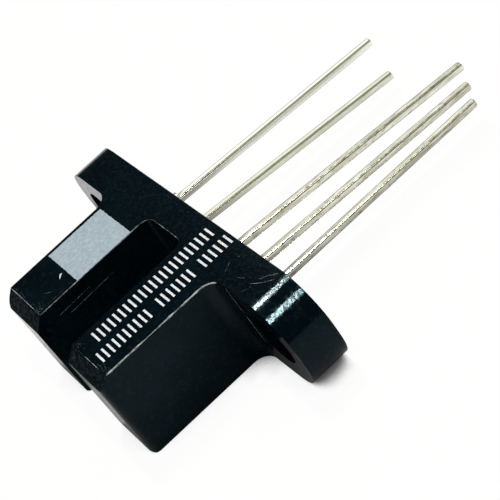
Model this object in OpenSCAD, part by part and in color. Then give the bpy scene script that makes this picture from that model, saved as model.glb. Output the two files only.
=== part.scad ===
// Slotted optical switch: a moulded housing with two mounting ears, an infrared emitter in one
// tower and a detector in the other, looking at each other across the slot.
// The origin is midway between the mounting holes, on the lead side of the flange. X runs along
// the flange, +Y is the way the leads point, and +Z is the front. It lies on its back.

/* [Flange] */
// Overall length of the flange
flange_len = 24.64; // [23:0.01:28]
// Depth of the housing, from its back face to its front face
body_depth = 6.35; // [6.2:0.05:8]
// Thickness of the mounting ears
ear_thick = 2.5; // [1.8:0.1:3.5]
// Radius of the ears' rounded ends
ear_end_r = 2.85; // [1:0.05:3]
// Diameter of the mounting holes
hole_d = 3.3; // [2.5:0.1:3.6]
// Distance from the centre of a mounting hole to the end of its ear
hole_inset = 2.795; // [2.4:0.005:3.2]

/* [Towers] */
// Height of the housing, from the lead side of the flange to the towers' tips
body_height = 10.9; // [10:0.1:14]
// Width across both towers where they meet the ears
tower_span = 12.24; // [11.8:0.01:12.8]
// Width of the slot at its floor
slot_w = 4.02; // [3.2:0.02:4.2]
// Thickness of the web between the slot's floor and the lead side
web_thick = 1.9; // [1.2:0.1:3]
// Draft of the towers' outer walls, in degrees
wall_draft = 0.5; // [0.1:0.1:1]
// Draft of the slot's walls, in degrees
slot_draft = 0.15; // [0.05:0.05:1]
// Chamfer along the front of the towers' tips
front_chamfer = 0.8; // [0.2:0.1:1.2]
// Chamfer along the back of the towers' tips
back_chamfer = 0.2; // [0.1:0.1:1]
// Radius of the outer corner of each tip
tip_r = 0.5; // [0.2:0.1:1]
// Fillet between each tower and its ear
root_r = 1; // [0.4:0.1:1.2]
// Radius of the corners of the slot's floor
floor_r = 0.7; // [0.2:0.1:1.2]

/* [Walls] */
// Thickness of each tower's outer wall
outer_wall = 0.7; // [0.5:0.05:0.9]
// Thickness of the wall between a tower's pocket and the slot
slot_wall = 0.7; // [0.55:0.05:0.85]
// Thickness of the wall at the towers' tips
tip_wall = 0.8; // [0.6:0.05:1]
// Thickness of the front and back walls of the towers
face_wall = 0.7; // [0.5:0.05:0.8]
// Corner radius of the pockets
pocket_r = 0.3; // [0.1:0.05:0.6]

/* [Optics] */
// Distance from the towers' tips to the optical axis
axis_drop = 2.9; // [2.6:0.1:3.4]
// Width of the aperture slit
slit_w = 0.25; // [0.15:0.05:0.5]
// Length of the aperture slit
slit_len = 1.5; // [1:0.1:1.6]
// Radius of the domed lens on each package
lens_r = 0.75; // [0.6:0.05:0.85]
// Depth of the recess in the slot wall that the lens looks into
lens_seat = 0.25; // [0.15:0.05:0.35]

/* [Packages] */
// Height of each package
package_h = 5.7; // [5:0.1:6.5]
// Gap between a package and the walls round it
package_clear = 0.15; // [0.05:0.05:0.2]
// Radius of the packages' corners
package_r = 0.3; // [0.1:0.05:0.6]

/* [Leads] */
// Side of the square leads
lead_w = 0.5; // [0.35:0.01:0.55]
// Distance between the two emitter leads
emitter_pitch = 2.3; // [2.1:0.05:2.6]
// Resin beside the outer leads of the detector
lead_margin = 0.175; // [0.1:0.005:0.3]
// Length over which each lead leaves the flange straight
lead_straight = 0.6; // [0.3:0.1:2]
// Chamfer round each lead's tip
lead_chamfer = 0.12; // [0.02:0.01:0.2]
// Length that is left of the trimmed tie bar beside the anode lead
tie_stub = 0.18; // [0.1:0.01:0.4]
// Tip of the emitter anode lead: its drift along X, its reach past the flange, its drift along Z
anode_tip = [0.5, 15.4, -0.6]; // [-2:0.05:20]
// Tip of the emitter cathode lead
cathode_tip = [0.7, 15.4, -1]; // [-2:0.05:20]
// Tip of the detector supply lead
supply_tip = [0.65, 16.25, -0.9]; // [-2:0.05:20]
// Tip of the detector ground lead
ground_tip = [0.45, 16.15, -0.55]; // [-2:0.05:20]
// Tip of the detector output lead
output_tip = [0.25, 16.05, 0]; // [-2:0.05:20]

/* [Chips] */
// Side of the emitter chip
emitter_chip_w = 0.36; // [0.25:0.01:0.5]
// Side of the detector chip
detector_chip_w = 1.1; // [0.8:0.05:1.3]
// Thickness of the chips
chip_thick = 0.18; // [0.1:0.01:0.2]
// Thickness of the layer that holds a chip on its lead
attach_thick = 0.04; // [0.02:0.01:0.06]
// Margin of the lead's flat end round a chip
pad_margin = 0.2; // [0.1:0.05:0.3]
// Diameter of the bond wires
wire_d = 0.05; // [0.03:0.01:0.08]
// Rise of the bond wires above the chips
wire_rise = 0.22; // [0.15:0.01:0.24]
// Distance of a bond from the edge of the detector chip
bond_inset = 0.12; // [0.08:0.01:0.2]

/* [Sealing and paint] */
// Depth of the sealing epoxy below the lead side
seal_recess = 0.2; // [0.05:0.05:0.6]
// Distance from the lead side to the paint field
mark_start = 3.25; // [2.6:0.05:4]
// Length of the paint field along the tower
mark_len = 4.05; // [2:0.05:5]
// Margin between the paint field and the tower's outer edge
mark_outer_margin = 0.25; // [0.05:0.05:0.6]
// Margin between the paint field and the slot's edge
mark_slot_margin = 0.06; // [0.02:0.01:0.6]
// Thickness of the paint
mark_thick = 0.03; // [0.02:0.01:0.06]

/* [Hidden] */
$fn = 64;
// Extra reach of a cutting shape past the face that it cuts
past = 1;
// Direction away from a tower, square to its outer wall
wall_out = [cos(wall_draft), -sin(wall_draft)];
hole_x = flange_len / 2 - hole_inset;
axis_y = axis_drop - body_height;
// Pocket in a tower, from the wall beside the slot to the outer wall
pocket_end = tip_wall - body_height;
pocket_in = slot_half(-body_height) + slot_wall;
pocket_out = tower_half(-body_height) - outer_wall;
pocket_z = body_depth - 2 * face_wall;
// Package, with its lens reaching into the recess in the slot wall
package_x = pocket_out - pocket_in - 2 * package_clear;
package_top = pocket_end + package_clear;
package_bottom = package_top + package_h;
package_z = pocket_z - 2 * package_clear;
lens_x = pocket_in - lens_seat + package_clear / 2 + lens_r;
// Leads stand in the package's middle plane
lead_x = (pocket_in + pocket_out) / 2;
detector_pitch = (package_z - lead_w) / 2 - lead_margin;
pad_face = lead_x - lead_w / 2;
chip_face = pad_face - attach_thick - chip_thick;
// Half the side of the flat end that carries each chip
emitter_pad = emitter_chip_w / 2 + pad_margin;
detector_pad = detector_chip_w / 2 + pad_margin;
// Distance of the outer bonds from the middle of the detector chip
bond_z = detector_chip_w / 2 - bond_inset;

// Half the width across the towers, at height y
function tower_half(y) = tower_span / 2 + (y + ear_thick) * tan(wall_draft);

// Half the width of the slot, at height y
function slot_half(y) = slot_w / 2 - (y + web_thick) * tan(slot_draft);

// Points followed by their mirror images in reverse order, as one closed outline
function mirrored(points) =
    concat(points, [for (i = [len(points) - 1:-1:0]) [-points[i].x, points[i].y]]);

// Circles of radius r at the centre c and at its mirror image
module circle_pair(c, r) {
    for (side = [-1, 1])
        translate([side * c.x, c.y]) circle(r = r);
}

// Rectangle round the origin with true round corners
module rounded_rect(w, h, r) {
    square([w - 2 * r, h], center = true);
    square([w, h - 2 * r], center = true);
    for (y = [-1, 1])
        translate([0, y * (h / 2 - r)]) circle_pair([w / 2 - r, 0], r);
}

// Rounded bar along Y, from y0 to y1 and from x0 to x1, centred on the housing's depth
module bar_along_y(x0, x1, y0, y1, depth, r) {
    translate([(x0 + x1) / 2, y1, 0]) rotate([90, 0, 0])
        linear_extrude(y1 - y0) rounded_rect(x1 - x0, depth, r);
}

// Slot between the towers, with round corners at its floor
module slot_outline() {
    corner = [slot_half(-web_thick - floor_r) - floor_r / cos(slot_draft), -web_thick - floor_r];
    touch = corner + floor_r * [cos(slot_draft), sin(slot_draft)];
    mouth = -body_height - past;
    polygon(mirrored([[corner.x, -web_thick], touch, [slot_half(mouth), mouth]]));
    circle_pair(corner, floor_r);
}

// What a round corner takes off a tower's tip, with its centre at c
module tip_waste(c) {
    touch = c + tip_r * wall_out;
    far = [touch.x + tip_r, -body_height - past];
    difference() {
        polygon([c, [c.x, far.y], far, [far.x, touch.y], touch]);
        translate(c) circle(r = tip_r);
    }
}

// Outline of the housing, seen from the front
module front_outline() {
    root = [tower_half(-ear_thick - root_r) + root_r / cos(wall_draft), -ear_thick - root_r];
    tip = [tower_half(tip_r - body_height) - tip_r / cos(wall_draft), tip_r - body_height];
    ear_end = flange_len / 2 + past;
    difference() {
        polygon(mirrored([[ear_end, 0], [ear_end, -ear_thick], [root.x, -ear_thick],
                          root - root_r * wall_out, [tower_half(-body_height), -body_height]]));
        circle_pair(root, root_r);
        slot_outline();
        for (side = [0, 1])
            mirror([side, 0, 0]) tip_waste(tip);
    }
}

// Square bar along X that takes a chamfer off the tips' edge at height z
module chamfer_cut(z, leg) {
    translate([0, -body_height, z]) rotate([45, 0, 0])
        cube([tower_span + 2 * past, leg * sqrt(2), leg * sqrt(2)], center = true);
}

// Hollow of one tower: the pocket, the recess for the lens and the aperture slit
module tower_hollow() {
    slit_start = slot_half(axis_y) - past;
    bar_along_y(pocket_in, pocket_out, pocket_end, past, pocket_z, pocket_r);
    translate([pocket_in - lens_seat, axis_y, 0]) rotate([0, 90, 0])
        cylinder(r = lens_r + package_clear / 2, h = lens_seat + pocket_r);
    translate([slit_start, axis_y - slit_len / 2, -slit_w / 2])
        cube([pocket_in - slit_start, slit_len, slit_w]);
}

module housing() {
    color([0.06, 0.08, 0.09]) difference() {
        intersection() {
            translate([0, 0, -body_depth / 2 - past])
                linear_extrude(body_depth + 2 * past) front_outline();
            translate([0, past, 0]) rotate([90, 0, 0])
                linear_extrude(body_height + 2 * past) rounded_rect(flange_len, body_depth, ear_end_r);
        }
        chamfer_cut(body_depth / 2, front_chamfer);
        chamfer_cut(-body_depth / 2, back_chamfer);
        for (side = [-1, 1])
            translate([side * hole_x, past, 0]) rotate([90, 0, 0])
                cylinder(d = hole_d, h = ear_thick + 2 * past);
        for (side = [0, 1])
            mirror([side, 0, 0]) tower_hollow();
    }
}

// Field of paint on the front of the emitter tower
module emitter_mark() {
    start = -mark_start;
    end = -mark_start - mark_len;
    color([0.70, 0.76, 0.78]) translate([0, 0, body_depth / 2]) linear_extrude(mark_thick)
        polygon([[mark_outer_margin - tower_half(start), start], [-slot_half(start) - mark_slot_margin, start],
                 [-slot_half(end) - mark_slot_margin, end], [mark_outer_margin - tower_half(end), end]]);
}

// Side-looking package with its lens towards the slot, on the +X side
module package_form() {
    translate([lead_x - package_x / 2, (package_top + package_bottom) / 2, 0]) rotate([0, 90, 0])
        linear_extrude(package_x) rounded_rect(package_z, package_h, package_r);
    translate([lens_x, axis_y, 0]) sphere(r = lens_r);
}

// Stretch of a lead at height z, from the optical axis to just past the flange
module lead_core(z) {
    translate([pad_face, axis_y, z - lead_w / 2]) cube([lead_w, lead_straight - axis_y, lead_w]);
}

// Flat end of a lead, between heights z0 and z1, with its face at x0
module lead_flat(x0, z0, z1, half) {
    translate([x0, axis_y - half, z0]) cube([pad_face + lead_w - x0, 2 * half, z1 - z0]);
}

// Flat end that a bond wire comes down on, level with the chip's top
module bond_post(z) {
    lead_flat(chip_face, z - lead_w / 2, z + lead_w / 2, lead_w / 2);
}

// Square slice of a lead, w wide, centred on the point p
module lead_slice(p, w) {
    translate([p.x - w / 2, p.y, p.z - w / 2]) cube([w, 0.01, w]);
}

// Free stretch of a lead at height z, from its straight part to a chamfered tip
module lead_run(z, tip) {
    knee = [lead_x, lead_straight, z];
    end = [lead_x + tip.x, tip.y, z + tip.z];
    collar = end - (end - knee) * lead_chamfer / (tip.y - lead_straight);
    hull() {
        lead_slice(knee, lead_w);
        lead_slice(collar, lead_w);
        lead_slice(end, lead_w - 2 * lead_chamfer);
    }
}

// Leads inside the emitter tower, on the +X side
module anode_core() {
    lead_core(emitter_pitch / 2);
    bond_post(emitter_pitch / 2);
}

module cathode_core() {
    lead_core(-emitter_pitch / 2);
    lead_flat(pad_face, -(emitter_pitch + lead_w) / 2, emitter_pad, emitter_pad);
}

// Leads inside the detector tower
module supply_core() {
    lead_core(detector_pitch);
    bond_post(detector_pitch);
}

module output_core() {
    lead_core(-detector_pitch);
    bond_post(-detector_pitch);
}

module ground_core() {
    lead_core(0);
    lead_flat(pad_face, -detector_pad, detector_pad, detector_pad);
}

// Layer of a stack on a chip's pad: a square plate of side w, with its face at x0
module chip_layer(x0, thick, w) {
    translate([x0, axis_y - w / 2, -w / 2]) cube([thick, w, w]);
}

module die_attach_form(w) chip_layer(pad_face - attach_thick, attach_thick, w);
module chip_form(w) chip_layer(chip_face, chip_thick, w);

// Bond wire from height z0 to height z1, an arc whose ends lie flush on the chip's plane
module wire_form(z0, z1) {
    half = (z1 - z0) / 2;
    arc_r = (half * half + wire_rise * wire_rise) / (2 * wire_rise);
    intersection() {
        translate([chip_face - wire_rise + arc_r, axis_y, (z0 + z1) / 2]) rotate([90, 0, 0])
            rotate_extrude() translate([arc_r, 0]) circle(d = wire_d);
        translate([chip_face - past, axis_y - past, z0 - past]) cube([past, 2 * past, z1 - z0 + 2 * past]);
    }
}

// Bond wire from the detector chip down to the lead that carries it
module ground_wire_form() {
    centre = axis_y + bond_z + wire_rise;
    intersection() {
        translate([chip_face, centre, 0])
            rotate_extrude() translate([wire_rise, 0]) circle(d = wire_d);
        translate([chip_face - past, centre - past, -past]) cube([past, 2 * past, 2 * past]);
    }
    translate([chip_face, centre + wire_rise, 0]) rotate([0, 90, 0])
        cylinder(d = wire_d, h = pad_face - chip_face);
}

module emitter_wire_form() wire_form(0, emitter_pitch / 2);
module supply_wire_form() wire_form(bond_z, detector_pitch);
module output_wire_form() wire_form(-detector_pitch, -bond_z);

// Epoxy that fills a pocket's mouth behind the package
module seal_form() {
    bar_along_y(pocket_in, pocket_out, package_bottom, -seal_recess, pocket_z, pocket_r);
}

module emitter_package() {
    color([0.85, 0.72, 0.60]) mirror([1, 0, 0]) difference() {
        package_form();
        anode_core();
        cathode_core();
        die_attach_form(emitter_chip_w);
        chip_form(emitter_chip_w);
        emitter_wire_form();
    }
}

module emitter_chip() {
    color([0.35, 0.35, 0.38]) mirror([1, 0, 0]) chip_form(emitter_chip_w);
}

module emitter_die_attach() {
    color([0.75, 0.75, 0.72]) mirror([1, 0, 0]) die_attach_form(emitter_chip_w);
}

module emitter_bond_wire() {
    color([0.85, 0.70, 0.30]) mirror([1, 0, 0]) emitter_wire_form();
}

module emitter_anode_lead() {
    color([0.72, 0.71, 0.66]) mirror([1, 0, 0]) {
        anode_core();
        lead_run(emitter_pitch / 2, [-anode_tip.x, anode_tip.y, anode_tip.z]);
        translate([pad_face, lead_straight - lead_w, emitter_pitch / 2])
            cube([lead_w, lead_w, lead_w / 2 + tie_stub]);
    }
}

module emitter_cathode_lead() {
    color([0.72, 0.71, 0.66]) mirror([1, 0, 0]) {
        cathode_core();
        lead_run(-emitter_pitch / 2, [-cathode_tip.x, cathode_tip.y, cathode_tip.z]);
    }
}

module emitter_seal() {
    color([0.08, 0.08, 0.08]) mirror([1, 0, 0]) difference() {
        seal_form();
        anode_core();
        cathode_core();
    }
}

module detector_package() {
    color([0.15, 0.12, 0.12]) difference() {
        package_form();
        supply_core();
        output_core();
        ground_core();
        die_attach_form(detector_chip_w);
        chip_form(detector_chip_w);
        supply_wire_form();
        output_wire_form();
        ground_wire_form();
    }
}

module detector_chip() {
    color([0.30, 0.32, 0.38]) chip_form(detector_chip_w);
}

module detector_die_attach() {
    color([0.75, 0.75, 0.72]) die_attach_form(detector_chip_w);
}

module supply_bond_wire() {
    color([0.85, 0.70, 0.30]) supply_wire_form();
}

module output_bond_wire() {
    color([0.85, 0.70, 0.30]) output_wire_form();
}

module ground_bond_wire() {
    color([0.85, 0.70, 0.30]) ground_wire_form();
}

module supply_lead() {
    color([0.72, 0.71, 0.66]) {
        supply_core();
        lead_run(detector_pitch, supply_tip);
    }
}

module output_lead() {
    color([0.72, 0.71, 0.66]) {
        output_core();
        lead_run(-detector_pitch, output_tip);
    }
}

module ground_lead() {
    color([0.72, 0.71, 0.66]) {
        ground_core();
        lead_run(0, ground_tip);
    }
}

module detector_seal() {
    color([0.08, 0.08, 0.08]) difference() {
        seal_form();
        supply_core();
        output_core();
        ground_core();
    }
}

housing();
emitter_mark();
emitter_package();
emitter_chip();
emitter_die_attach();
emitter_bond_wire();
emitter_anode_lead();
emitter_cathode_lead();
emitter_seal();
detector_package();
detector_chip();
detector_die_attach();
supply_bond_wire();
output_bond_wire();
ground_bond_wire();
supply_lead();
output_lead();
ground_lead();
detector_seal();
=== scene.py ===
"""Looks of a slotted photo interrupter that lies on its back on a pale floor.

The solids give every size and place. The housing and the leads get copies with softened edges, the
paint and the print are laid on the housing, and every piece gets its finish.
"""

import math
import random

import bmesh
import bpy
from mathutils import Matrix, Quaternion, Vector


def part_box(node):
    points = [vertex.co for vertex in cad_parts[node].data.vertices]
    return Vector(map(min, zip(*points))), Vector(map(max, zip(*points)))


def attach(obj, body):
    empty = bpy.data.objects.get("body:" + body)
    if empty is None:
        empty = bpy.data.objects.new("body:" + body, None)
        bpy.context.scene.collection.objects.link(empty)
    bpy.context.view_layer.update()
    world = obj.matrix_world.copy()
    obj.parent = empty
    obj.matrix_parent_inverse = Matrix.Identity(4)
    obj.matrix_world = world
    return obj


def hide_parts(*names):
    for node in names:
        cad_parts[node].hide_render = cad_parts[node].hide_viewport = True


MM = 0.001

# Camera, found from the photograph's perspective
CAMERA_AT = Vector((79.41, -15.28, 60.02)) * MM
LOOKS_AT = Vector((2.564, 0.761, 0.0)) * MM
CAMERA_ROLL = 35.83
FOCAL_MM = 127.8
SENSOR_MM = 36.0
NEAR_CLIP = 5 * MM

# Lamps: name, direction from the object, width and length in metres, and radiance
LAMP_DISTANCE = 0.30
LAMP_TONE = (1.0, 0.92, 0.88)
LAMPS = (
    ("far_strip", Vector((-0.278, 0.139, 0.948)), 0.052, 0.0098, 270.0),
    ("near_strip", Vector((0.455, 0.139, 0.877)), 0.062, 0.0098, 210.0),
    ("front_brow", Vector((0.0, -0.72, 0.69)), 0.120, 0.005, 32.0),
    ("back_brow", Vector((0.0, 0.55, 0.83)), 0.120, 0.005, 32.0),
)

# Room round the object: colour of each part, and the white that the camera sees
SKY_DIM = (0.055, 0.06, 0.062)
SKY_SIDE = (0.30, 0.30, 0.245)
SKY_FRONT = (0.55, 0.55, 0.54)
SKY_PANEL = (1.15, 1.15, 1.12)
SKY_HORIZON = (0.92, 0.92, 0.90)
SKY_SEEN = (0.965, 0.965, 0.965)
# Directions between which the panel, the pale horizon and the wall before the towers fade
PANEL_X = (-0.60, -0.20)
PANEL_Y = (0.155, 0.205)
PANEL_Z = (0.42, 0.53)
HORIZON_Z = (0.0, 0.03)
FRONT_Y = (-0.80, -0.62)

# Floor: paper, half width, and share of plain white over it for the camera and in reflections
FLOOR_WHITE = (0.93, 0.93, 0.92)
FLOOR_HALF = 1.5
FLOOR_SEEN = 0.95
FLOOR_MIRRORED = 0.85
# Contact shadow: reach, openness between which it fades, its brightness there, and samples
CONTACT_REACH = 2.6 * MM
CONTACT_SEEN = (0.22, 0.56)
CONTACT_BRIGHT = (0.05, 1.0)
CONTACT_SAMPLES = 8
# Darkening of the mirrored floor near the object: reach and steepness
MIRRORED_REACH = 6.0 * MM
MIRRORED_FALL = 3.0

# Distance under which a solid's loose corners are joined
WELD = 0.0003 * MM
# A face of the housing's front: least upward share of its normal, and how far below the front it may lie
LEVEL_NORMAL = 0.999
FRONT_REACH = 0.01 * MM
# Turns between faces, in degrees: flat, hard enough to be rounded off, and sharp in the shading
FLAT_TURN = 0.4
HARD_TURN = 32
SHARP_TURN = 45
# Edge radius that the mould leaves, and its steps
HOUSING_EDGE = 0.07 * MM
HOUSING_EDGE_STEPS = 3

# Leads: corner radius, its largest share of half the width, its steps, and sections of the round tip
LEAD_CORNER = 0.15 * MM
LEAD_CORNER_SHARE = 0.98
LEAD_CORNER_STEPS = 4
TIP_RINGS = 4
# Height inside the seal where a lead's swept outer part takes over from the solid, and their overlap
LEAD_CUT = -0.5 * MM
LEAD_LAP = 0.02 * MM
# Height of a lead's knee, reach of the corners that belong to it, and of those below the tip
KNEE_Y = 0.605 * MM
KNEE_REACH = 0.01 * MM
SHOULDER_BELOW_TIP = (0.05 * MM, 0.135 * MM)
# Sections beside the knee that keep its bend short
RING_BEFORE_KNEE = 0.25 * MM
RINGS_AFTER_KNEE = (0.25 * MM, 0.5 * MM)
# Stub of the tie bar: highest corner, least reach past the lead, overlap with it, edge and its steps
STUB_TOP = 0.62 * MM
STUB_REACH = 0.05 * MM
STUB_OVERLAP = 0.12 * MM
STUB_EDGE = 0.05 * MM
STUB_EDGE_STEPS = 2

# Paint field: shift from the solid's place, step and waver of its edge
PAINT_SHIFT = 0.09 * MM
PAINT_STEP = 0.12 * MM
PAINT_WAVER = 0.014 * MM
# Stray fleck of paint: outline as X, Y in mm, step and waver of its edge, thickness and sunk share
FLECK = ((-3.66, -7.66), (-3.58, -7.55), (-3.46, -7.70), (-3.30, -7.88), (-3.52, -7.79))
FLECK_STEP = 0.05 * MM
FLECK_WAVER = 0.008 * MM
FLECK_THICK = 0.014 * MM
FLECK_SUNK = 0.002 * MM
# Ticks of ink: thickness, width, spacing and length
INK_THICK = 0.008 * MM
TICK_W = 0.13 * MM
TICK_PITCH = 0.38 * MM
TICK_LEN = 0.98 * MM
# Rows of ticks on the detector tower: centre along X, then first tick and count of each group
TICK_ROWS = (
    (3.02 * MM, ((-8.95 * MM, 23),)),
    (4.62 * MM, ((-9.6 * MM, 10), (-5.3 * MM, 7), (-2.2 * MM, 6))),
)

# Stretches of the front face's rim with pale lips, which are painted edge highlights: X, Y of both ends
# and radius of the lip, all in mm
EDGE_HIGHLIGHT_RIM = (
    ((6.0, -10.1), (6.75, -2.7), 0.056),
    ((-2.1, -10.1), (-2.2, -2.6), 0.048),
    ((-2.2, -2.6), (1.6, -2.0), 0.026),
    ((-6.0, -10.1), (-2.1, -10.1), 0.022),
    ((2.1, -10.1), (6.0, -10.1), 0.022),
    ((-9.0, 0.0), (9.0, 0.0), 0.012),
)
# Scratches on the front face: X, Y of both ends and radius, all in mm
SCRATCHES = (
    ((6.53, -1.89), (6.19, -1.28), 0.011),
    ((8.63, -1.60), (9.80, -0.62), 0.011),
    ((8.90, -1.10), (9.70, -0.20), 0.008),
    ((8.95, -0.85), (9.75, -0.35), 0.006),
    ((8.70, -2.20), (9.00, -1.60), 0.008),
    ((7.60, -1.70), (8.10, -1.45), 0.005),
    ((6.30, -0.75), (6.42, -0.70), 0.016),
    ((-3.30, -9.10), (-2.90, -8.70), 0.004),
)
# Pale marks on other faces, drag lines on the slot wall and a line along the fillet's edge on the ear's
# underside: both ends in mm, the way the face looks and radius in mm
FACE_MARKS = (
    ((-2.0285, -8.7, 1.85), (-2.0190, -5.4, 1.95), (1, 0, 0), 0.006),
    ((-2.0300, -9.3, 2.25), (-2.0225, -6.9, 2.32), (1, 0, 0), 0.005),
    ((7.26, -2.5, 2.95), (7.42, -2.5, -1.6), (0, -1, 0), 0.012),
)
# Scuffed spots: X, Y, spread along X and Y in mm, and number of nicks
SCUFFS = (
    ((-2.50, -9.86), (0.28, 0.16), 60),
    ((-4.9, -9.98), (0.50, 0.06), 36),
    ((5.4, -9.92), (0.40, 0.12), 60),
    ((2.5, -9.90), (0.15, 0.12), 20),
    ((-2.3, -8.6), (0.05, 0.60), 30),
    ((9.6, -0.25), (0.30, 0.20), 6),
)
# Nicks of a scuff, in mm: reach along X and Y, and radius
NICK_X = (0.01, 0.05)
NICK_Y = (-0.01, 0.02)
NICK_R = (0.004, 0.011)
# Bow of a scratch as a share of its length
BOW = 0.04
# Steps along each kind of mark, and how far a rim's lip is sunk into its edge
RIM_STEP = 0.12 * MM
SCRATCH_STEP_MM = 0.12
FACE_MARK_STEP = 0.15 * MM
RIM_SINK = 0.02 * MM
# Lip of a mark: sides, share of its radius at the start, wander of that share, its least and its ends'
LIP_SIDES = 6
LIP_START = (0.5, 1.0)
LIP_WANDER = 0.22
LIP_LEAST = 0.3
LIP_END = 0.3
# Turn that stays sharp in the shading of the marks, in degrees, and seed of all their random draws
LIP_SHARP_TURN = 60
WEAR_AND_HIGHLIGHT_SEED = 11

# Tones of each outer finish, from its darker mottle to its paler one
BLACK_TONES = ((0.0003, 0.0032, 0.0056), (0.0010, 0.0055, 0.0089))
BLACK_TINT = (0.60, 0.92, 1.0, 1.0)
BLACK_DUST = (0.0075, 0.0105, 0.0100)
# The rubbed tones also colour the pale lips along the rim, which are painted edge highlights
RUBBED_AND_HIGHLIGHT_TONES = ((0.035, 0.048, 0.050), (0.42, 0.47, 0.47))
PAINT_TONES = ((0.268, 0.356, 0.408), (0.393, 0.497, 0.566))
INK_TONES = ((0.55, 0.62, 0.66), (0.80, 0.85, 0.88))
SMOOTH_TIN = ((0.88, 0.89, 0.76), (0.96, 0.96, 0.91))
DULLED_TIN = ((0.69, 0.70, 0.54), (0.86, 0.86, 0.76))
SPECKLED_TIN = ((0.48, 0.48, 0.37), (0.85, 0.85, 0.75))
TIN_GRAIN = (0.40, 0.37, 0.29)
# Noise between which the grains in the tin begin to show, and how much rougher its dull spots are
GRAIN_STOPS = (0.66, 0.78)
TIN_DULL_SHARE = 1.6
# Tones of what the housing closes in
CLEAR_TONES = ((0.72, 0.58, 0.45), (0.80, 0.68, 0.56))
DARK_TONES = ((0.020, 0.010, 0.014), (0.032, 0.016, 0.020))
EPOXY_TONES = ((0.0015, 0.0028, 0.004), (0.004, 0.006, 0.008))
WAFER_TONES = ((0.08, 0.09, 0.13), (0.13, 0.14, 0.18))
SILVER_TONES = ((0.50, 0.50, 0.47), (0.62, 0.62, 0.58))
GOLD_TONES = ((0.80, 0.55, 0.20), (0.90, 0.66, 0.28))

# Sockets of a Mix node that carry its colours
MIX_FIRST = 6
MIX_SECOND = 7
MIX_RESULT = 2

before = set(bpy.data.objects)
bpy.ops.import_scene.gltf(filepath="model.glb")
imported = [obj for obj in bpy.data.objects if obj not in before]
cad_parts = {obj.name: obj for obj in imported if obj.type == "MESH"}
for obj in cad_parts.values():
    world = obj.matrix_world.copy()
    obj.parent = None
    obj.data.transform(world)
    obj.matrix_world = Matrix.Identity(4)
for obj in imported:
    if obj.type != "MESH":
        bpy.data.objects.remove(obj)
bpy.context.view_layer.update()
front_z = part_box("housing")[1].z
back_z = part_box("housing")[0].z


def mix_node(nodes, links, share, first, second):
    """Mixes two colours, each a tuple or a socket."""
    node = nodes.new("ShaderNodeMix")
    node.data_type = "RGBA"
    links.new(share, node.inputs["Factor"])
    for socket, value in ((node.inputs[MIX_FIRST], first), (node.inputs[MIX_SECOND], second)):
        if isinstance(value, tuple):
            socket.default_value = (*value, 1.0)
        else:
            links.new(value, socket)
    return node.outputs[MIX_RESULT]


def math_node(nodes, links, operation, first, second):
    """Works out one value from two, each a number or a socket."""
    node = nodes.new("ShaderNodeMath")
    node.operation = operation
    for socket, value in zip(node.inputs, (first, second)):
        if isinstance(value, float):
            socket.default_value = value
        else:
            links.new(value, socket)
    return node.outputs[0]


def fade_node(nodes, links, source, between, ends):
    """Goes smoothly from one end value to the other as the source goes between two values."""
    node = nodes.new("ShaderNodeMapRange")
    node.interpolation_type = "SMOOTHSTEP"
    for label, value in zip(("From Min", "From Max", "To Min", "To Max"), (*between, *ends)):
        node.inputs[label].default_value = value
    links.new(source, node.inputs["Value"])
    return node.outputs["Result"]


class Finish:
    """A material that is built node by node and reads Object coordinates."""

    def __init__(self, name, **sockets):
        self.material = bpy.data.materials.new(name)
        self.material.use_nodes = True
        self.nodes = self.material.node_tree.nodes
        self.links = self.material.node_tree.links
        self.shader = self.nodes["Principled BSDF"]
        self.place = self.nodes.new("ShaderNodeTexCoord").outputs["Object"]
        for socket, value in sockets.items():
            self.shader.inputs[socket.replace("_", " ")].default_value = value

    def stretched(self, scale):
        """Object coordinates scaled along each axis."""
        mapping = self.nodes.new("ShaderNodeMapping")
        mapping.inputs["Scale"].default_value = scale
        self.links.new(self.place, mapping.inputs["Vector"])
        return mapping.outputs["Vector"]

    def noise(self, size, detail=3.0, stretch=None, rough=0.5):
        """Noise whose features are about size metres across."""
        node = self.nodes.new("ShaderNodeTexNoise")
        node.inputs["Scale"].default_value = 1.0 / size
        node.inputs["Detail"].default_value = detail
        node.inputs["Roughness"].default_value = rough
        source = self.place if stretch is None else self.stretched(stretch)
        self.links.new(source, node.inputs["Vector"])
        return node.outputs["Fac"]

    def ramp(self, source, low, high, at_low=0.35, at_high=0.65):
        """Maps a value to a colour or a grey between two stops."""
        node = self.nodes.new("ShaderNodeValToRGB")
        for stop, place, value in zip(node.color_ramp.elements, (at_low, at_high), (low, high)):
            stop.position = place
            stop.color = (value,) * 3 + (1.0,) if isinstance(value, float) else (*value, 1.0)
        self.links.new(source, node.inputs["Fac"])
        return node.outputs["Color"]

    def mix(self, share, first, second):
        return mix_node(self.nodes, self.links, share, first, second)

    def colour(self, source):
        self.links.new(source, self.shader.inputs["Base Color"])

    def roughness(self, source):
        self.links.new(source, self.shader.inputs["Roughness"])

    def bump(self, source, distance):
        node = self.nodes.new("ShaderNodeBump")
        node.inputs["Distance"].default_value = distance
        self.links.new(source, node.inputs["Height"])
        self.links.new(node.outputs["Normal"], self.shader.inputs["Normal"])


def moulded_black():
    """Satin black moulding: faint blue-green cast, specks of dust, uneven gloss and a fine skin."""
    finish = Finish("moulded_black", Specular_IOR_Level=0.10, Specular_Tint=BLACK_TINT)
    broad = finish.ramp(finish.noise(2.2 * MM), *BLACK_TONES)
    dust = finish.ramp(finish.noise(0.35 * MM, detail=7.0, rough=0.65), 0.0, 1.0, 0.52, 0.75)
    gloss = finish.noise(0.20 * MM, detail=5.0, rough=0.6)
    finish.colour(finish.mix(dust, broad, BLACK_DUST))
    finish.roughness(finish.ramp(gloss, 0.07, 0.30, 0.48, 0.70))
    finish.bump(finish.noise(0.18 * MM, detail=2.0), 0.0032 * MM)
    return finish.material


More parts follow.
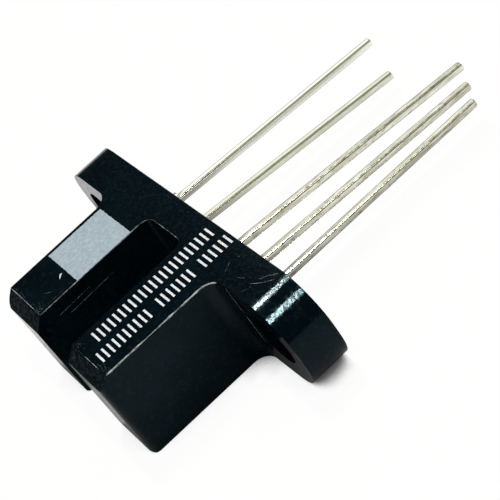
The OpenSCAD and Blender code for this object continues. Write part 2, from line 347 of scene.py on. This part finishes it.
def rubbed_plastic_and_painted_highlight():
    """Pale plastic in broken stretches: scratches where the moulding is rubbed pale, and painted edge
    highlights along the rim.
    """
    finish = Finish("rubbed_plastic_and_painted_highlight", Specular_IOR_Level=0.25)
    broken = finish.noise(0.45 * MM, detail=6.0, rough=0.65)
    finish.colour(finish.ramp(broken, *RUBBED_AND_HIGHLIGHT_TONES, 0.36, 0.58))
    finish.roughness(finish.ramp(finish.noise(0.2 * MM), 0.40, 0.60))
    return finish.material


def pale_paint():
    """Pale blue-grey paint with a mottled, slightly pitted coat."""
    finish = Finish("pale_paint", Specular_IOR_Level=0.2)
    finish.colour(finish.ramp(finish.noise(0.22 * MM, detail=8.0, rough=0.7), *PAINT_TONES))
    finish.roughness(finish.ramp(finish.noise(0.3 * MM), 0.5, 0.65))
    finish.bump(finish.noise(0.06 * MM, detail=5.0), 0.003 * MM)
    return finish.material


def white_ink():
    """White ink, slightly uneven."""
    finish = Finish("white_ink", Specular_IOR_Level=0.2)
    finish.colour(finish.ramp(finish.noise(0.12 * MM, detail=6.0), *INK_TONES))
    finish.roughness(finish.ramp(finish.noise(0.2 * MM), 0.45, 0.6))
    return finish.material


def tinned(name, tones, rough, speckle=0.0, dents=0.0):
    """Tin over the lead frame: speckle sets how many grains show, dents how deep its bump is."""
    finish = Finish(name, Metallic=1.0)
    streaks = finish.noise(0.14 * MM, detail=4.0, stretch=(1.0, 0.08, 1.0))
    grains = finish.noise(0.13 * MM, detail=3.0, stretch=(1.0, 0.28, 1.0))
    shown = finish.ramp(grains, 0.0, 1.0, *(stop - speckle for stop in GRAIN_STOPS))
    finish.colour(finish.mix(shown, finish.ramp(streaks, *tones), TIN_GRAIN))
    finish.roughness(finish.ramp(finish.noise(0.25 * MM), rough, rough * TIN_DULL_SHARE))
    if dents:
        finish.bump(finish.noise(0.16 * MM, detail=3.0, stretch=(1.0, 0.35, 1.0)), dents)
    return finish.material


def two_tone(name, tones, size, rough, bump=0.0, **sockets):
    """A finish of two near tones, mottled at one size."""
    finish = Finish(name, **sockets)
    mottle = finish.noise(size, detail=4.0)
    finish.colour(finish.ramp(mottle, *tones))
    finish.roughness(finish.ramp(finish.noise(size * 2), *rough))
    if bump:
        finish.bump(mottle, bump)
    return finish.material


def dress(piece, material):
    """Gives a piece one finish all over."""
    piece.data.materials.clear()
    piece.data.materials.append(material)


def mesh_of(bm, name):
    """Ends the work on mesh data and keeps it as a mesh."""
    mesh = bpy.data.meshes.new(name)
    bm.to_mesh(mesh)
    bm.free()
    return mesh


def new_piece(name, mesh, material):
    """A piece of its own that rides with the part."""
    piece = bpy.data.objects.new(name, mesh)
    bpy.context.scene.collection.objects.link(piece)
    dress(piece, material)
    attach(piece, "root")
    return piece


def smooth_by_angle(mesh, degrees):
    """Smooth shading, apart from edges that turn by more than the angle."""
    for face in mesh.polygons:
        face.use_smooth = True
    mesh.set_sharp_from_angle(angle=math.radians(degrees))


def joined_solid(node):
    """A copy of a solid's mesh with its loose triangles joined."""
    bm = bmesh.new()
    bm.from_mesh(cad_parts[node].data)
    bmesh.ops.remove_doubles(bm, verts=bm.verts, dist=WELD)
    return bm


def stand_in(bm, name, material, node):
    """Turns mesh data into a piece that stands for a solid."""
    mesh = mesh_of(bm, name)
    smooth_by_angle(mesh, SHARP_TURN)
    piece = new_piece(name, mesh, material)
    piece.modifiers.new("even_shading", "WEIGHTED_NORMAL").keep_sharp = True
    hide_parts(node)


def shell():
    """The housing as it leaves the mould: the same form, with its hard edges rounded off."""
    bm = joined_solid("housing")
    flat = math.radians(FLAT_TURN)
    bmesh.ops.dissolve_limit(bm, angle_limit=flat, verts=bm.verts, edges=bm.edges)
    turn = math.radians(HARD_TURN)
    hard = [e for e in bm.edges if e.is_manifold and e.calc_face_angle() > turn]
    bmesh.ops.bevel(bm, geom=hard, offset=HOUSING_EDGE, offset_type="OFFSET",
                    segments=HOUSING_EDGE_STEPS, profile=0.5, affect="EDGES", clamp_overlap=True,
                    loop_slide=True)
    stand_in(bm, "housing_shell", moulded_black(), "housing")


def skin(bm, rings):
    """Joins rings of vertices, each to the next, and closes both ends."""
    for low, high in zip(rings, rings[1:]):
        for k in range(len(low)):
            after = (k + 1) % len(low)
            bm.faces.new((low[k], high[k], high[after], low[after]))
    bm.faces.new(rings[0])
    bm.faces.new(rings[-1])


def rounded_ring(bm, x, y, z, half):
    """One section of a lead: a square with rounded corners, across Y."""
    corner = min(LEAD_CORNER, half * LEAD_CORNER_SHARE)
    points = []
    for quarter in range(4):
        middle = math.pi / 4 + quarter * math.pi / 2
        cx = x + math.copysign(half - corner, math.cos(middle))
        cz = z + math.copysign(half - corner, math.sin(middle))
        for step in range(LEAD_CORNER_STEPS + 1):
            turn = quarter * math.pi / 2 + step * math.pi / 2 / LEAD_CORNER_STEPS
            place = (cx + corner * math.cos(turn), y, cz + corner * math.sin(turn))
            points.append(bm.verts.new(place))
    return points


def middle_of(corners, half, y):
    """Middle of a lead's square section at height y, from its corners and half its width."""
    return Vector((min(p.x for p in corners) + half, y, min(p.z for p in corners) + half))


def lead_rings(half, start, stop, tip):
    """Sections of a lead's outer part, up to its round tip: x, y, z and half the width of each."""
    rings = [(start.x, LEAD_CUT - LEAD_LAP, start.z, half),
             (start.x, start.y - RING_BEFORE_KNEE, start.z, half)]
    drift = stop - start
    for along in RINGS_AFTER_KNEE:
        place = start + drift * (along / drift.y)
        rings.append((place.x, place.y, place.z, half))
    tip_r = tip - stop.y
    for ring in range(TIP_RINGS):
        angle = ring * math.pi / 2 / (TIP_RINGS - 1)
        rings.append((stop.x, stop.y + tip_r * math.sin(angle), stop.z,
                      half - tip_r * (1 - math.cos(angle))))
    return rings


def tie_bar_stub(bm, corners, bottom):
    """The stub that a trimmed tie bar leaves, with worn edges, from its corners on the solid."""
    low = Vector([min(p[i] for p in corners) for i in range(3)])
    high = Vector([max(p[i] for p in corners) for i in range(3)])
    low.z = bottom
    box = bmesh.ops.create_cube(bm, size=1.0)["verts"]
    for v in box:
        v.co = Vector([low[i] + (v.co[i] + 0.5) * (high[i] - low[i]) for i in range(3)])
    edges = list({e for v in box for e in v.link_edges})
    bmesh.ops.bevel(bm, geom=edges, offset=STUB_EDGE, offset_type="OFFSET",
                    segments=STUB_EDGE_STEPS, profile=0.5, affect="EDGES")


def lead(node, material):
    """A lead as sheared and tumbled: its outer part swept with round corners, its inner as packed."""
    bm = joined_solid(node)
    outer = [v.co.copy() for v in bm.verts if v.co.y > 0]
    tip = max(p.y for p in outer)
    near, far = SHOULDER_BELOW_TIP
    shoulder = [p for p in outer if tip - far < p.y < tip - near]
    knee = [p for p in outer if abs(p.y - KNEE_Y) < KNEE_REACH]
    half = (max(p.x for p in shoulder) - min(p.x for p in shoulder)) / 2
    start = middle_of(knee, half, KNEE_Y)
    stop = middle_of(shoulder, half, max(p.y for p in shoulder))
    side = start.z + half
    stub = [p for p in outer if p.y < STUB_TOP and p.z > side + STUB_REACH]
    whole = bm.verts[:] + bm.edges[:] + bm.faces[:]
    cut = bmesh.ops.bisect_plane(bm, geom=whole, plane_co=(0, LEAD_CUT, 0), plane_no=(0, 1, 0),
                                 clear_outer=True)
    rim = [e for e in cut["geom_cut"] if isinstance(e, bmesh.types.BMEdge)]
    bmesh.ops.holes_fill(bm, edges=rim, sides=0)
    skin(bm, [rounded_ring(bm, *ring) for ring in lead_rings(half, start, stop, tip)])
    if stub:
        tie_bar_stub(bm, stub, side - STUB_OVERLAP)
    bmesh.ops.recalc_face_normals(bm, faces=bm.faces)
    stand_in(bm, node.replace("_lead", "_pin"), material, node)


def slab(name, outline, z0, thick, material):
    """A thin flat piece of paint or ink over an outline at height z0."""
    bm = bmesh.new()
    skin(bm, [[bm.verts.new((x, y, z)) for x, y in outline] for z in (z0, z0 + thick)])
    bmesh.ops.recalc_face_normals(bm, faces=bm.faces)
    return new_piece(name, mesh_of(bm, name), material)


def wavering(corners, step, waver, seed):
    """Points along a closed outline, each moved a little at random, as a stencil leaves it."""
    rng = random.Random(seed)
    points = []
    for start, end in zip(corners, corners[1:] + corners[:1]):
        a, b = Vector(start), Vector(end)
        count = max(1, round((b - a).length / step))
        for i in range(count):
            p = a.lerp(b, i / count)
            points.append((p.x + rng.uniform(-waver, waver), p.y + rng.uniform(-waver, waver)))
    return points


def paint_field():
    """The pale field on the emitter tower, with the slight waver of a masked edge."""
    low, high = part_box("emitter_mark")
    left, right = low.x + PAINT_SHIFT, high.x + PAINT_SHIFT
    corners = [(left, low.y), (right, low.y), (right, high.y), (left, high.y)]
    outline = wavering(corners, PAINT_STEP, PAINT_WAVER, seed=4)
    piece = slab("emitter_paint", outline, low.z, high.z - low.z, pale_paint())
    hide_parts("emitter_mark")


def fleck(material):
    """A stray fleck beside the paint field."""
    outline = wavering([(x * MM, y * MM) for x, y in FLECK], FLECK_STEP, FLECK_WAVER, seed=9)
    slab("paint_fleck", outline, front_z - FLECK_SUNK, FLECK_THICK, material)


def on_front(face):
    """Whether a face lies level in the housing's front."""
    return face.normal.z > LEVEL_NORMAL and face.calc_center_median().z > front_z - FRONT_REACH


def rim_loop():
    """The front face's rim in order, from the solid housing."""
    bm = joined_solid("housing")
    bm.normal_update()
    after = {}
    for edge in bm.edges:
        level = [face for face in edge.link_faces if on_front(face)]
        if len(level) == 1:
            loop = next(l for l in level[0].loops if l.edge == edge)
            after[loop.vert.index] = loop.link_loop_next.vert.index
    places = {v.index: v.co.copy() for v in bm.verts}
    bm.free()
    start = min(after, key=lambda i: places[i].x)
    ring, at = [start], after[start]
    while at != start:
        ring.append(at)
        at = after[at]
    return [places[i] for i in ring]


def nearest(ring, place):
    """Index of the rim's point that is nearest to a place given in mm."""
    target = Vector(place) * MM
    return min(range(len(ring)), key=lambda i: (ring[i].xy - target).length)


def run_between(ring, first, last, step):
    """Points of the rim from one index to another, going round one way."""
    run, i = [ring[first]], first
    while i != last:
        i = (i + step) % len(ring)
        run.append(ring[i])
    return run


def length_of(run):
    """Length along a run of points."""
    return sum((b - a).length for a, b in zip(run, run[1:]))


def stretch_of(ring, start, end):
    """The shorter run of the rim between two places, cut into short steps."""
    first, last = nearest(ring, start), nearest(ring, end)
    run = min([run_between(ring, first, last, step) for step in (1, -1)], key=length_of)
    points = []
    for a, b in zip(run, run[1:]):
        cuts = max(1, round((b - a).length / RIM_STEP))
        points += [a.lerp(b, i / cuts) for i in range(cuts)]
    return points + [run[-1]]


def add_lip(bm, points, radius, rng, out=Vector((0, 0, 1))):
    """A thin lip along points on a face that looks out, its thickness wandering up to radius."""
    rings = []
    turns = [2 * math.pi * k / LIP_SIDES for k in range(LIP_SIDES)]
    ends = (0, len(points) - 1)
    level = rng.uniform(*LIP_START)
    for i, point in enumerate(points):
        ahead = points[min(i + 1, ends[1])] - points[max(i - 1, 0)]
        across = ahead.cross(out).normalized()
        level = min(1.0, max(LIP_LEAST, level + rng.uniform(-LIP_WANDER, LIP_WANDER)))
        r = radius * level * (LIP_END if i in ends else 1.0)
        places = [point + across * (r * math.cos(t)) + out * (r * math.sin(t)) for t in turns]
        rings.append([bm.verts.new(place) for place in places])
    skin(bm, rings)


def nicks(rng):
    """Short strokes scattered over the scuffed spots, in mm."""
    strokes = []
    for centre, spread, count in SCUFFS:
        for _ in range(count):
            start = Vector(centre) + Vector((rng.gauss(0, spread[0]), rng.gauss(0, spread[1])))
            end = start + Vector((rng.uniform(*NICK_X), rng.uniform(*NICK_Y)))
            strokes.append((start, end, rng.uniform(*NICK_R)))
    return strokes


def wear_and_edge_highlights():
    """Pale lips along the rim that are painted edge highlights, and scratches and scuffs of real wear,
    all as lips of paler plastic that stand just proud.
    """
    rng = random.Random(WEAR_AND_HIGHLIGHT_SEED)
    ring = rim_loop()
    bm = bmesh.new()
    # Painted edge highlights: pale lips along stretches of the rim
    for start, end, radius in EDGE_HIGHLIGHT_RIM:
        lowered = [p - Vector((0, 0, RIM_SINK)) for p in stretch_of(ring, start, end)]
        add_lip(bm, lowered, radius * MM, rng)
    strokes = [(Vector(a), Vector(b), radius) for a, b, radius in SCRATCHES] + nicks(rng)
    for a, b, radius in strokes:
        length = (b - a).length
        steps = max(2, round(length / SCRATCH_STEP_MM))
        bend = Vector((rng.uniform(-1, 1), rng.uniform(-1, 1))) * BOW * length
        path = [a.lerp(b, i / steps) + bend * math.sin(math.pi * i / steps) for i in range(steps + 1)]
        add_lip(bm, [Vector((p.x * MM, p.y * MM, front_z)) for p in path], radius * MM, rng)
    for start, end, out, radius in FACE_MARKS:
        a, b = Vector(start) * MM, Vector(end) * MM
        cuts = round((b - a).length / FACE_MARK_STEP)
        path = [a.lerp(b, i / cuts) for i in range(cuts + 1)]
        add_lip(bm, path, radius * MM, rng, Vector(out))
    bmesh.ops.recalc_face_normals(bm, faces=bm.faces)
    mesh = mesh_of(bm, "wear_and_edge_highlight_marks")
    smooth_by_angle(mesh, LIP_SHARP_TURN)
    new_piece("wear_and_edge_highlight_marks", mesh, rubbed_plastic_and_painted_highlight())


def tick_tree(material):
    """Node tree that lays a line of ink ticks along Y."""
    tree = bpy.data.node_groups.new("tick_row", "GeometryNodeTree")
    wanted = (
        ("Start", "NodeSocketVector"),
        ("Count", "NodeSocketInt"),
        ("Pitch", "NodeSocketFloat"),
        ("Tick Size", "NodeSocketVector"),
    )
    inputs = {}
    for label, kind in wanted:
        socket = tree.interface.new_socket(label, in_out="INPUT", socket_type=kind)
        inputs[label] = socket.identifier
    tree.interface.new_socket("Geometry", in_out="OUTPUT", socket_type="NodeSocketGeometry")
    nodes, links = tree.nodes, tree.links
    given = nodes.new("NodeGroupInput").outputs
    step = nodes.new("ShaderNodeCombineXYZ")
    line = nodes.new("GeometryNodeMeshLine")
    tick = nodes.new("GeometryNodeMeshCube")
    lay = nodes.new("GeometryNodeInstanceOnPoints")
    real = nodes.new("GeometryNodeRealizeInstances")
    ink = nodes.new("GeometryNodeSetMaterial")
    out = nodes.new("NodeGroupOutput")
    ink.inputs["Material"].default_value = material
    links.new(given["Pitch"], step.inputs["Y"])
    links.new(given["Count"], line.inputs["Count"])
    links.new(given["Start"], line.inputs["Start Location"])
    links.new(step.outputs[0], line.inputs["Offset"])
    links.new(given["Tick Size"], tick.inputs["Size"])
    links.new(line.outputs["Mesh"], lay.inputs["Points"])
    links.new(tick.outputs["Mesh"], lay.inputs["Instance"])
    links.new(lay.outputs[0], real.inputs[0])
    links.new(real.outputs[0], ink.inputs["Geometry"])
    links.new(ink.outputs[0], out.inputs[0])
    return tree, inputs


def tick_group(tree, inputs, place, count):
    """One group of ticks as a plain mesh."""
    holder = bpy.data.objects.new("tick_row", bpy.data.meshes.new("tick_row"))
    bpy.context.scene.collection.objects.link(holder)
    modifier = holder.modifiers.new("ticks", "NODES")
    modifier.node_group = tree
    modifier[inputs["Start"]] = place
    modifier[inputs["Count"]] = count
    modifier[inputs["Pitch"]] = TICK_PITCH
    modifier[inputs["Tick Size"]] = (TICK_LEN, TICK_W, INK_THICK)
    evaluated = holder.evaluated_get(bpy.context.evaluated_depsgraph_get())
    mesh = bpy.data.meshes.new_from_object(evaluated)
    bpy.data.objects.remove(holder)
    return mesh


def tick_print(material):
    """Rows of plain ticks of ink on the detector tower."""
    tree, inputs = tick_tree(material)
    z = front_z + INK_THICK / 2
    bm = bmesh.new()
    for x, groups in TICK_ROWS:
        for start, count in groups:
            bm.from_mesh(tick_group(tree, inputs, (x, start, z), count))
    new_piece("tick_print", mesh_of(bm, "tick_print"), material)


def floor_material():
    """White to the camera and in reflections, darker where the object almost touches it."""
    material = bpy.data.materials.new("floor_white")
    material.use_nodes = True
    nodes, links = material.node_tree.nodes, material.node_tree.links
    nodes.clear()
    paper = nodes.new("ShaderNodeBsdfDiffuse")
    paper.inputs["Color"].default_value = (*FLOOR_WHITE, 1.0)
    openness = []
    for reach in (CONTACT_REACH, MIRRORED_REACH):
        node = nodes.new("ShaderNodeAmbientOcclusion")
        node.inputs["Distance"].default_value = reach
        node.samples = CONTACT_SAMPLES
        openness.append(node.outputs["AO"])
    shadow = fade_node(nodes, links, openness[0], CONTACT_SEEN, CONTACT_BRIGHT)
    mirrored_shadow = math_node(nodes, links, "POWER", openness[1], MIRRORED_FALL)
    rays = nodes.new("ShaderNodeLightPath").outputs
    depth = nodes.new("ShaderNodeMix")
    links.new(rays["Is Glossy Ray"], depth.inputs["Factor"])
    links.new(shadow, depth.inputs["A"])
    links.new(mirrored_shadow, depth.inputs["B"])
    glow = nodes.new("ShaderNodeEmission")
    links.new(depth.outputs["Result"], glow.inputs["Strength"])
    direct = math_node(nodes, links, "MAXIMUM", rays["Is Camera Ray"], rays["Is Transmission Ray"])
    seen = math_node(nodes, links, "MULTIPLY", direct, FLOOR_SEEN)
    mirrored = math_node(nodes, links, "MULTIPLY", rays["Is Glossy Ray"], FLOOR_MIRRORED)
    mix = nodes.new("ShaderNodeMixShader")
    out = nodes.new("ShaderNodeOutputMaterial")
    links.new(math_node(nodes, links, "MAXIMUM", seen, mirrored), mix.inputs["Fac"])
    links.new(paper.outputs[0], mix.inputs[1])
    links.new(glow.outputs[0], mix.inputs[2])
    links.new(mix.outputs[0], out.inputs["Surface"])
    return material


def floor():
    """Pale floor that keeps the object's soft shadow."""
    mesh = bpy.data.meshes.new("floor")
    h = FLOOR_HALF
    corners = [(-h, -h, back_z), (h, -h, back_z), (h, h, back_z), (-h, h, back_z)]
    mesh.from_pydata(corners, [], [(0, 1, 2, 3)])
    mesh.materials.append(floor_material())
    piece = bpy.data.objects.new("floor", mesh)
    bpy.context.scene.collection.objects.link(piece)


def sky():
    """White to the camera; to the object a pale horizon, a bright panel and a dim room above."""
    world = bpy.data.worlds.new("studio")
    bpy.context.scene.world = world
    world.use_nodes = True
    nodes, links = world.node_tree.nodes, world.node_tree.links
    split = nodes.new("ShaderNodeSeparateXYZ")
    links.new(nodes.new("ShaderNodeTexCoord").outputs["Generated"], split.inputs[0])
    x, y, z = (split.outputs[axis] for axis in "XYZ")
    far = fade_node(nodes, links, x, PANEL_X, (1.0, 0.0))
    side = fade_node(nodes, links, y, PANEL_Y, (0.0, 1.0))
    high = fade_node(nodes, links, z, PANEL_Z, (0.0, 1.0))
    far_side = math_node(nodes, links, "MULTIPLY", far, side)
    panel = math_node(nodes, links, "MULTIPLY", far_side, high)
    front = fade_node(nodes, links, y, FRONT_Y, (1.0, 0.0))
    level = fade_node(nodes, links, z, HORIZON_Z, (1.0, 0.0))
    seen = nodes.new("ShaderNodeLightPath").outputs["Is Camera Ray"]
    parts = (
        (front, SKY_FRONT),
        (side, SKY_SIDE),
        (panel, SKY_PANEL),
        (level, SKY_HORIZON),
        (seen, SKY_SEEN),
    )
    colour = SKY_DIM
    for share, tone in parts:
        colour = mix_node(nodes, links, share, colour, tone)
    links.new(colour, nodes["Background"].inputs["Color"])


def lamps():
    """Narrow strips, whose reflections draw the bright lines on the round ears and the edges."""
    for name, direction, width, length, radiance in LAMPS:
        data = bpy.data.lights.new(name, "AREA")
        data.shape = "RECTANGLE"
        data.size = width
        data.size_y = length
        data.energy = radiance * math.pi * width * length
        data.color = LAMP_TONE
        facing = direction.normalized()
        across = Vector((0, 1, 0)).cross(facing).normalized()
        axes = Matrix((across, facing.cross(across), facing)).transposed()
        lamp = bpy.data.objects.new(name, data)
        lamp.location = facing * LAMP_DISTANCE
        lamp.rotation_mode = "QUATERNION"
        lamp.rotation_quaternion = axes.to_quaternion()
        bpy.context.scene.collection.objects.link(lamp)


def camera():
    """The photograph's viewpoint."""
    data = bpy.data.cameras.new("camera")
    data.lens = FOCAL_MM
    data.sensor_width = SENSOR_MM
    data.clip_start = NEAR_CLIP
    body = bpy.data.objects.new("camera", data)
    body.location = CAMERA_AT
    body.rotation_mode = "QUATERNION"
    level = (LOOKS_AT - CAMERA_AT).to_track_quat("-Z", "Y")
    body.rotation_quaternion = level @ Quaternion((0, 0, 1), math.radians(-CAMERA_ROLL))
    bpy.context.scene.collection.objects.link(body)
    bpy.context.scene.camera = body


def housing():
    """The shell and what is painted, printed and worn on it, with painted edge highlights along its rim.
    """
    shell()
    paint_field()
    ink = white_ink()
    fleck(ink)
    tick_print(ink)
    wear_and_edge_highlights()


def leads():
    """The five leads: the anode's is the brightest, and the detector's three are grainy."""
    lead("emitter_anode_lead", tinned("tinned_smooth", SMOOTH_TIN, rough=0.05))
    lead("emitter_cathode_lead", tinned("tinned_dulled", DULLED_TIN, rough=0.06))
    speckled = tinned("tinned_speckled", SPECKLED_TIN, rough=0.12, speckle=0.10, dents=0.0026 * MM)
    for node in ("supply_lead", "ground_lead", "output_lead"):
        lead(node, speckled)


def inner_pieces():
    """Finishes of the pieces that the housing closes in."""
    clear = two_tone("clear_resin", CLEAR_TONES, 0.8 * MM, (0.08, 0.16),
                     Transmission_Weight=0.6, IOR=1.54)
    dark = two_tone("dark_resin", DARK_TONES, 0.8 * MM, (0.08, 0.16))
    epoxy = two_tone("black_epoxy", EPOXY_TONES, 0.5 * MM, (0.18, 0.30), bump=0.006 * MM,
                     Specular_IOR_Level=0.12)
    wafer = two_tone("wafer", WAFER_TONES, 0.2 * MM, (0.1, 0.2), Metallic=0.5)
    silver = two_tone("silver_attach", SILVER_TONES, 0.06 * MM, (0.4, 0.6), Metallic=0.7)
    gold = two_tone("gold_wire", GOLD_TONES, 0.05 * MM, (0.15, 0.25), Metallic=1.0)
    for material, names in (
        (clear, ("emitter_package",)),
        (dark, ("detector_package",)),
        (epoxy, ("emitter_seal", "detector_seal")),
        (wafer, ("emitter_chip", "detector_chip")),
        (silver, ("emitter_die_attach", "detector_die_attach")),
        (gold, ("emitter_bond_wire", "supply_bond_wire", "output_bond_wire", "ground_bond_wire")),
    ):
        for name in names:
            dress(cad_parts[name], material)


camera()
lamps()
sky()
floor()
housing()
leads()
inner_pieces()

bpy.context.scene.view_settings.view_transform = "Standard"
